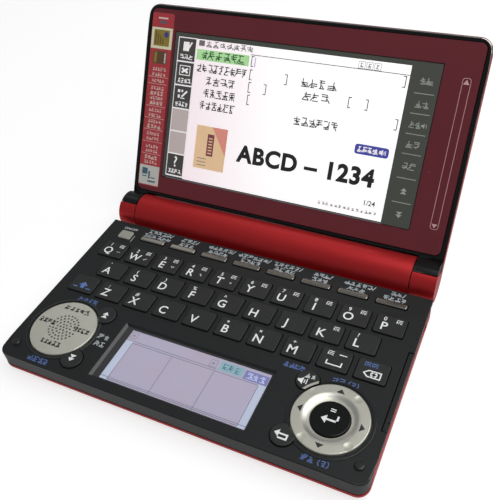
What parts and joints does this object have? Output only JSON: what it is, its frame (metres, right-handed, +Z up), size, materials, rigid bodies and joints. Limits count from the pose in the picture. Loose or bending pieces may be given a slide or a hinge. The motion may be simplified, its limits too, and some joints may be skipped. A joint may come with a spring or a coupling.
{
  "type": "electronic dictionary",
  "caption": "Folding pocket electronic dictionary: keyboard base with battery barrel, touch panel and rocker keys, and a display lid on a friction hinge.",
  "frame": {"origin": "middle of the footprint, on the surface that the feet stand on", "axes": "+X to the user's right along the hinge, +Y away from the user towards the lid, +Z up"},
  "size_m": [0.1476, 0.1466, 0.0875],
  "materials": {
    "red_shell": "metallic red paint on ABS, glossy",
    "black_plastic": "black ABS with a fine satin texture",
    "key_plastic": "satin black, printed legends",
    "silver_plastic": "warm silver paint",
    "wine_acrylic": "wine-red printed acrylic, polished",
    "display_glass": "anti-glare display glass",
    "board_green": "solder mask",
    "grey_rubber": "moulded silicone",
    "cell_jacket": "printed foil jacket",
    "steel": "plain steel"
  },
  "bodies": {
    "base": {"lower_case": "red_shell", "deck_cover": "black_plastic", "circuit_board": "board_green", "keypad_mat": "grey_rubber", "pen_display": "display_glass", "battery_left": "cell_jacket", "battery_right": "cell_jacket", "speaker_driver": "steel", "friction_hinge": "steel"},
    "lid": {"lid_back_shell": "red_shell", "lid_inner_frame": "black_plastic", "display_bezel": "wine_acrylic", "main_display": "display_glass"},
    "battery_cover": {"battery_cover": "red_shell"},
    "stylus": {"stylus": "black_plastic"},
    "direction_ring": {"direction_ring": "silver_plastic"},
    "speaker_pad": {"speaker_pad": "silver_plastic"},
    "key_q": {"key_q": "key_plastic"},
    "key_w": {"key_w": "key_plastic"},
    "key_e": {"key_e": "key_plastic"},
    "key_r": {"key_r": "key_plastic"},
    "key_t": {"key_t": "key_plastic"},
    "key_y": {"key_y": "key_plastic"},
    "key_u": {"key_u": "key_plastic"},
    "key_i": {"key_i": "key_plastic"},
    "key_o": {"key_o": "key_plastic"},
    "key_p": {"key_p": "key_plastic"},
    "key_a": {"key_a": "key_plastic"},
    "key_s": {"key_s": "key_plastic"},
    "key_d": {"key_d": "key_plastic"},
    "key_f": {"key_f": "key_plastic"},
    "key_g": {"key_g": "key_plastic"},
    "key_h": {"key_h": "key_plastic"},
    "key_j": {"key_j": "key_plastic"},
    "key_k": {"key_k": "key_plastic"},
    "key_l": {"key_l": "key_plastic"},
    "key_z": {"key_z": "key_plastic"},
    "key_x": {"key_x": "key_plastic"},
    "key_c": {"key_c": "key_plastic"},
    "key_v": {"key_v": "key_plastic"},
    "key_b": {"key_b": "key_plastic"},
    "key_n": {"key_n": "key_plastic"},
    "key_m": {"key_m": "key_plastic"},
    "key_shift": {"key_shift": "key_plastic"},
    "key_space": {"key_space": "key_plastic"},
    "key_delete": {"key_delete": "key_plastic"},
    "menu_key_1": {"menu_key_1": "silver_plastic"},
    "menu_key_2": {"menu_key_2": "silver_plastic"},
    "menu_key_3": {"menu_key_3": "silver_plastic"},
    "menu_key_4": {"menu_key_4": "silver_plastic"},
    "menu_key_5": {"menu_key_5": "silver_plastic"},
    "menu_key_6": {"menu_key_6": "silver_plastic"},
    "menu_key_7": {"menu_key_7": "silver_plastic"},
    "menu_key_8": {"menu_key_8": "silver_plastic"},
    "power_key": {"power_key": "silver_plastic"},
    "page_up_key": {"page_up_key": "key_plastic"},
    "page_down_key": {"page_down_key": "key_plastic"},
    "voice_key": {"voice_key": "key_plastic"},
    "exit_key": {"exit_key": "key_plastic"},
    "enter_key": {"enter_key": "key_plastic"}
  },
  "joints": [
    {"name": "lid_hinge", "type": "hinge", "parent": "base", "child": "lid", "pos_m": [0, 0.02001, 0.00972], "axis": [1, 0, 0], "range_deg": [-25, 121]},
    {"name": "battery_cover_slide", "type": "slide", "parent": "base", "child": "battery_cover", "axis": [0, 0, -1], "range_m": [0, 0.012]},
    {"name": "stylus_slide", "type": "slide", "parent": "base", "child": "stylus", "axis": [1, 0, 0], "range_m": [0, 0.01]},
    {"name": "direction_ring_tilt", "type": "hinge", "parent": "base", "child": "direction_ring", "pos_m": [0.055, -0.05414, 0.01077], "axis": [1, 0, 0], "range_deg": [-2, 2], "stiffness_Nm_per_rad": 0.25},
    {"name": "speaker_pad_tilt", "type": "hinge", "parent": "base", "child": "speaker_pad", "pos_m": [-0.0557, -0.05414, 0.01077], "axis": [1, 0, 0], "range_deg": [-2, 2], "stiffness_Nm_per_rad": 0.25},
    {"name": "key_q_press", "type": "slide", "parent": "base", "child": "key_q", "axis": [0, 0, -1], "range_m": [0, 0.0009], "stiffness_N_per_m": 650},
    {"name": "key_w_press", "type": "slide", "parent": "base", "child": "key_w", "axis": [0, 0, -1], "range_m": [0, 0.0009], "stiffness_N_per_m": 650},
    {"name": "key_e_press", "type": "slide", "parent": "base", "child": "key_e", "axis": [0, 0, -1], "range_m": [0, 0.0009], "stiffness_N_per_m": 650},
    {"name": "key_r_press", "type": "slide", "parent": "base", "child": "key_r", "axis": [0, 0, -1], "range_m": [0, 0.0009], "stiffness_N_per_m": 650},
    {"name": "key_t_press", "type": "slide", "parent": "base", "child": "key_t", "axis": [0, 0, -1], "range_m": [0, 0.0009], "stiffness_N_per_m": 650},
    {"name": "key_y_press", "type": "slide", "parent": "base", "child": "key_y", "axis": [0, 0, -1], "range_m": [0, 0.0009], "stiffness_N_per_m": 650},
    {"name": "key_u_press", "type": "slide", "parent": "base", "child": "key_u", "axis": [0, 0, -1], "range_m": [0, 0.0009], "stiffness_N_per_m": 650},
    {"name": "key_i_press", "type": "slide", "parent": "base", "child": "key_i", "axis": [0, 0, -1], "range_m": [0, 0.0009], "stiffness_N_per_m": 650},
    {"name": "key_o_press", "type": "slide", "parent": "base", "child": "key_o", "axis": [0, 0, -1], "range_m": [0, 0.0009], "stiffness_N_per_m": 650},
    {"name": "key_p_press", "type": "slide", "parent": "base", "child": "key_p", "axis": [0, 0, -1], "range_m": [0, 0.0009], "stiffness_N_per_m": 650},
    {"name": "key_a_press", "type": "slide", "parent": "base", "child": "key_a", "axis": [0, 0, -1], "range_m": [0, 0.0009], "stiffness_N_per_m": 650},
    {"name": "key_s_press", "type": "slide", "parent": "base", "child": "key_s", "axis": [0, 0, -1], "range_m": [0, 0.0009], "stiffness_N_per_m": 650},
    {"name": "key_d_press", "type": "slide", "parent": "base", "child": "key_d", "axis": [0, 0, -1], "range_m": [0, 0.0009], "stiffness_N_per_m": 650},
    {"name": "key_f_press", "type": "slide", "parent": "base", "child": "key_f", "axis": [0, 0, -1], "range_m": [0, 0.0009], "stiffness_N_per_m": 650},
    {"name": "key_g_press", "type": "slide", "parent": "base", "child": "key_g", "axis": [0, 0, -1], "range_m": [0, 0.0009], "stiffness_N_per_m": 650},
    {"name": "key_h_press", "type": "slide", "parent": "base", "child": "key_h", "axis": [0, 0, -1], "range_m": [0, 0.0009], "stiffness_N_per_m": 650},
    {"name": "key_j_press", "type": "slide", "parent": "base", "child": "key_j", "axis": [0, 0, -1], "range_m": [0, 0.0009], "stiffness_N_per_m": 650},
    {"name": "key_k_press", "type": "slide", "parent": "base", "child": "key_k", "axis": [0, 0, -1], "range_m": [0, 0.0009], "stiffness_N_per_m": 650},
    {"name": "key_l_press", "type": "slide", "parent": "base", "child": "key_l", "axis": [0, 0, -1], "range_m": [0, 0.0009], "stiffness_N_per_m": 650},
    {"name": "key_z_press", "type": "slide", "parent": "base", "child": "key_z", "axis": [0, 0, -1], "range_m": [0, 0.0009], "stiffness_N_per_m": 650},
    {"name": "key_x_press", "type": "slide", "parent": "base", "child": "key_x", "axis": [0, 0, -1], "range_m": [0, 0.0009], "stiffness_N_per_m": 650},
    {"name": "key_c_press", "type": "slide", "parent": "base", "child": "key_c", "axis": [0, 0, -1], "range_m": [0, 0.0009], "stiffness_N_per_m": 650},
    {"name": "key_v_press", "type": "slide", "parent": "base", "child": "key_v", "axis": [0, 0, -1], "range_m": [0, 0.0009], "stiffness_N_per_m": 650},
    {"name": "key_b_press", "type": "slide", "parent": "base", "child": "key_b", "axis": [0, 0, -1], "range_m": [0, 0.0009], "stiffness_N_per_m": 650},
    {"name": "key_n_press", "type": "slide", "parent": "base", "child": "key_n", "axis": [0, 0, -1], "range_m": [0, 0.0009], "stiffness_N_per_m": 650},
    {"name": "key_m_press", "type": "slide", "parent": "base", "child": "key_m", "axis": [0, 0, -1], "range_m": [0, 0.0009], "stiffness_N_per_m": 650},
    {"name": "key_shift_press", "type": "slide", "parent": "base", "child": "key_shift", "axis": [0, 0, -1], "range_m": [0, 0.0009], "stiffness_N_per_m": 650},
    {"name": "key_space_press", "type": "slide", "parent": "base", "child": "key_space", "axis": [0, 0, -1], "range_m": [0, 0.0009], "stiffness_N_per_m": 650},
    {"name": "key_delete_press", "type": "slide", "parent": "base", "child": "key_delete", "axis": [0, 0, -1], "range_m": [0, 0.0009], "stiffness_N_per_m": 650},
    {"name": "menu_key_1_press", "type": "slide", "parent": "base", "child": "menu_key_1", "axis": [0, 0, -1], "range_m": [0, 0.0009], "stiffness_N_per_m": 650},
    {"name": "menu_key_2_press", "type": "slide", "parent": "base", "child": "menu_key_2", "axis": [0, 0, -1], "range_m": [0, 0.0009], "stiffness_N_per_m": 650},
    {"name": "menu_key_3_press", "type": "slide", "parent": "base", "child": "menu_key_3", "axis": [0, 0, -1], "range_m": [0, 0.0009], "stiffness_N_per_m": 650},
    {"name": "menu_key_4_press", "type": "slide", "parent": "base", "child": "menu_key_4", "axis": [0, 0, -1], "range_m": [0, 0.0009], "stiffness_N_per_m": 650},
    {"name": "menu_key_5_press", "type": "slide", "parent": "base", "child": "menu_key_5", "axis": [0, 0, -1], "range_m": [0, 0.0009], "stiffness_N_per_m": 650},
    {"name": "menu_key_6_press", "type": "slide", "parent": "base", "child": "menu_key_6", "axis": [0, 0, -1], "range_m": [0, 0.0009], "stiffness_N_per_m": 650},
    {"name": "menu_key_7_press", "type": "slide", "parent": "base", "child": "menu_key_7", "axis": [0, 0, -1], "range_m": [0, 0.0009], "stiffness_N_per_m": 650},
    {"name": "menu_key_8_press", "type": "slide", "parent": "base", "child": "menu_key_8", "axis": [0, 0, -1], "range_m": [0, 0.0009], "stiffness_N_per_m": 650},
    {"name": "power_key_press", "type": "slide", "parent": "base", "child": "power_key", "axis": [0, 0, -1], "range_m": [0, 0.0009], "stiffness_N_per_m": 650},
    {"name": "page_up_key_press", "type": "slide", "parent": "base", "child": "page_up_key", "axis": [0, 0, -1], "range_m": [0, 0.0009], "stiffness_N_per_m": 650},
    {"name": "page_down_key_press", "type": "slide", "parent": "base", "child": "page_down_key", "axis": [0, 0, -1], "range_m": [0, 0.0009], "stiffness_N_per_m": 650},
    {"name": "voice_key_press", "type": "slide", "parent": "base", "child": "voice_key", "axis": [0, 0, -1], "range_m": [0, 0.0009], "stiffness_N_per_m": 650},
    {"name": "exit_key_press", "type": "slide", "parent": "base", "child": "exit_key", "axis": [0, 0, -1], "range_m": [0, 0.0009], "stiffness_N_per_m": 650},
    {"name": "enter_key_press", "type": "slide", "parent": "base", "child": "enter_key", "axis": [0, 0, -1], "range_m": [0, 0.0006], "stiffness_N_per_m": 650}
  ]
}
